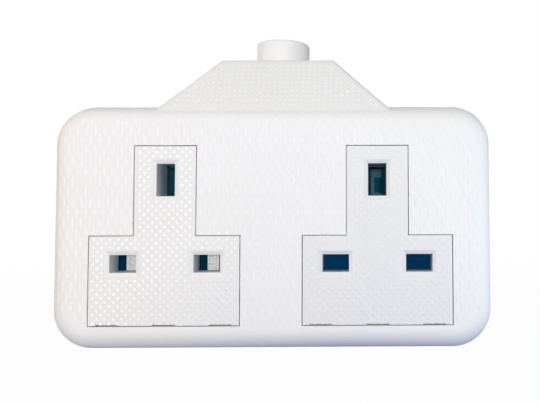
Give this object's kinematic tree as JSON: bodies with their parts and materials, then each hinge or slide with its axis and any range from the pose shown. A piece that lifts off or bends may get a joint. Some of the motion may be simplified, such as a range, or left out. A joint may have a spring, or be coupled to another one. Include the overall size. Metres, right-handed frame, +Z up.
{
  "type": "trailing extension socket",
  "caption": "Trailing extension socket: flat rounded white case with T-shaped rectangular-pin faces, sliding pin shutters and a round cord gland on a tapered entry.",
  "frame": {"origin": "middle of the box's underside: the case stands on its lower edge as in the picture", "axes": "+X to the right along the case, +Z up towards the cord gland, sockets face -Y"},
  "size_m": [0.1178, 0.044, 0.0868],
  "materials": {
    "case_white": "white, fine lozenge grip",
    "face_white": "white, fine raised pips",
    "gland_white": "smooth white bush",
    "petrol_plastic": "dark petrol blue",
    "grey_plastic": "light grey, fine grain",
    "brass": "plain brass",
    "clip_brass": "spring brass sheet under a dark blue-green film",
    "screw_steel": "zinc-plated steel"
  },
  "bodies": {
    "housing": {"front_cover": "case_white", "rear_base": "case_white", "cord_entry_cover": "face_white", "socket_face_left": "face_white", "socket_face_right": "face_white", "cable_gland": "gland_white", "contact_carrier": "petrol_plastic", "cord_clamp": "grey_plastic", "live_strip": "brass", "neutral_strip": "brass", "earth_strip": "brass", "live_clip_left": "clip_brass", "live_clip_right": "clip_brass", "neutral_clip_left": "clip_brass", "neutral_clip_right": "clip_brass", "earth_clip_left": "clip_brass", "earth_clip_right": "clip_brass", "contact_rivets": "brass", "live_terminal": "brass", "neutral_terminal": "brass", "earth_terminal": "brass", "terminal_screws": "screw_steel", "cord_clamp_screws": "screw_steel", "carrier_screws": "screw_steel", "case_screws": "screw_steel"},
    "left_shutter": {"shutter_slide_left": "grey_plastic", "shutter_blades_left": "petrol_plastic"},
    "right_shutter": {"shutter_slide_right": "grey_plastic", "shutter_blades_right": "petrol_plastic"}
  },
  "joints": [
    {"name": "left_shutter_slide", "type": "slide", "parent": "housing", "child": "left_shutter", "axis": [1, 0, 0], "range_m": [-0.00555, 0.0051]},
    {"name": "right_shutter_slide", "type": "slide", "parent": "housing", "child": "right_shutter", "axis": [1, 0, 0], "range_m": [-0.01065, 0]}
  ]
}
